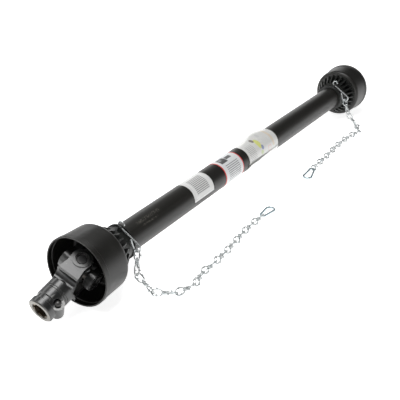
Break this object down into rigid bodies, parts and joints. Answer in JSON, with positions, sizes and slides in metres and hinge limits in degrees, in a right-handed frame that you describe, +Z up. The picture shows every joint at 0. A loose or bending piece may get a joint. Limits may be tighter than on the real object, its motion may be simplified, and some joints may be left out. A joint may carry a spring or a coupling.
{
  "type": "pto drive shaft",
  "caption": "Telescoping farm drive shaft with splined quick-release yokes and universal joints at both ends, in a plastic tube guard with end cones and restraint chains.",
  "frame": {"origin": "on the floor under the middle of the box round the whole part, chains included", "axes": "+X along the shaft from the near end in the picture to the far end, +Z up, the shaft lying on its guard cones"},
  "size_m": [1.5957, 0.2434, 0.154],
  "materials": {
    "tube_plastic": "matte, fine vertical extrusion lines",
    "cone_plastic": "matte moulded plastic with a soft sheen",
    "nylon": "matte natural nylon",
    "zinc_steel": "bright zinc plate",
    "sticker": "white film",
    "film": "printed paper in clear film",
    "black_paint": "satin black paint over a forging",
    "bare_steel": "machined, lightly oiled"
  },
  "bodies": {
    "guard_outer": {"outer_guard_tube": "tube_plastic", "near_cone": "cone_plastic", "near_collar": "cone_plastic", "near_bearing_ring": "nylon", "near_hook": "zinc_steel", "near_chain": "zinc_steel", "near_snap_hook": "zinc_steel", "plain_sticker": "sticker", "banded_sticker": "sticker", "leaflet_wrap": "film"},
    "near_gate": {"near_snap_gate": "zinc_steel"},
    "drive_outer": {"outer_profile_tube": "bare_steel", "near_inner_yoke": "black_paint", "near_roll_pin": "bare_steel", "near_inner_caps": "bare_steel", "near_inner_rings": "bare_steel"},
    "near_cross_body": {"near_cross": "bare_steel", "near_nipple": "zinc_steel"},
    "near_yoke_body": {"near_outer_yoke": "black_paint", "near_outer_caps": "bare_steel", "near_outer_rings": "bare_steel", "near_pin_spring": "bare_steel"},
    "near_button": {"near_push_pin": "bare_steel"},
    "drive_inner": {"inner_profile_tube": "bare_steel", "far_inner_yoke": "black_paint", "far_roll_pin": "bare_steel", "far_inner_caps": "bare_steel", "far_inner_rings": "bare_steel"},
    "far_cross_body": {"far_cross": "bare_steel", "far_nipple": "zinc_steel"},
    "far_yoke_body": {"far_outer_yoke": "black_paint", "far_outer_caps": "bare_steel", "far_outer_rings": "bare_steel", "far_pin_spring": "bare_steel"},
    "far_button": {"far_push_pin": "bare_steel"},
    "guard_inner": {"inner_guard_tube": "tube_plastic", "far_cone": "cone_plastic", "far_collar": "cone_plastic", "far_bearing_ring": "nylon", "far_hook": "zinc_steel", "far_chain": "zinc_steel", "far_snap_hook": "zinc_steel"},
    "far_gate": {"far_snap_gate": "zinc_steel"}
  },
  "joints": [
    {"name": "shaft_spin", "type": "hinge", "parent": "guard_outer", "child": "drive_outer", "pos_m": [-0.59, 0.04468, 0.077], "axis": [1, 0, 0], "continuous": true},
    {"name": "telescope", "type": "slide", "parent": "drive_outer", "child": "drive_inner", "axis": [1, 0, 0], "range_m": [0, 0.4]},
    {"name": "guard_telescope", "type": "slide", "parent": "guard_outer", "child": "guard_inner", "axis": [1, 0, 0], "range_m": [0, 0.4]},
    {"name": "near_cross_hinge", "type": "hinge", "parent": "drive_outer", "child": "near_cross_body", "pos_m": [-0.676, 0.04468, 0.077], "axis": [0, 0.9063, 0.4226], "range_deg": [-19, 51]},
    {"name": "near_yoke_hinge", "type": "hinge", "parent": "near_cross_body", "child": "near_yoke_body", "pos_m": [-0.676, 0.04468, 0.077], "axis": [-0.2756, -0.4062, 0.8712], "range_deg": [-39.6, 30.4]},
    {"name": "near_push_button", "type": "slide", "parent": "near_yoke_body", "child": "near_button", "axis": [0.2756, 0.4062, -0.8712], "range_m": [0, 0.006], "stiffness_N_per_m": 2000, "springref_m": -0.003, "deforming": ["near_pin_spring"]},
    {"name": "far_cross_hinge", "type": "hinge", "parent": "drive_inner", "child": "far_cross_body", "pos_m": [0.676, 0.04468, 0.077], "axis": [0, 0.9063, 0.4226], "range_deg": [-51, 19]},
    {"name": "far_yoke_hinge", "type": "hinge", "parent": "far_cross_body", "child": "far_yoke_body", "pos_m": [0.676, 0.04468, 0.077], "axis": [0.2756, -0.4062, 0.8712], "range_deg": [-35, 35]},
    {"name": "far_push_button", "type": "slide", "parent": "far_yoke_body", "child": "far_button", "axis": [-0.2756, 0.4062, -0.8712], "range_m": [0, 0.006], "stiffness_N_per_m": 2000, "springref_m": -0.003, "deforming": ["far_pin_spring"]},
    {"name": "near_gate_hinge", "type": "hinge", "parent": "guard_outer", "child": "near_gate", "pos_m": [-0.15485, -0.09965, 0.00558], "axis": [0.068, 0.0018, 0.9977], "range_deg": [0, 22], "stiffness_Nm_per_rad": 0.05, "springref_deg": -17.19},
    {"name": "far_gate_hinge", "type": "hinge", "parent": "guard_inner", "child": "far_gate", "pos_m": [0.13849, -0.07645, 0.00565], "axis": [-0.0675, -0.0083, 0.9977], "range_deg": [0, 22], "stiffness_Nm_per_rad": 0.05, "springref_deg": -17.19}
  ],
  "couplings": [
    {"joint": "guard_telescope", "follows": "telescope", "ratio": 1}
  ]
}
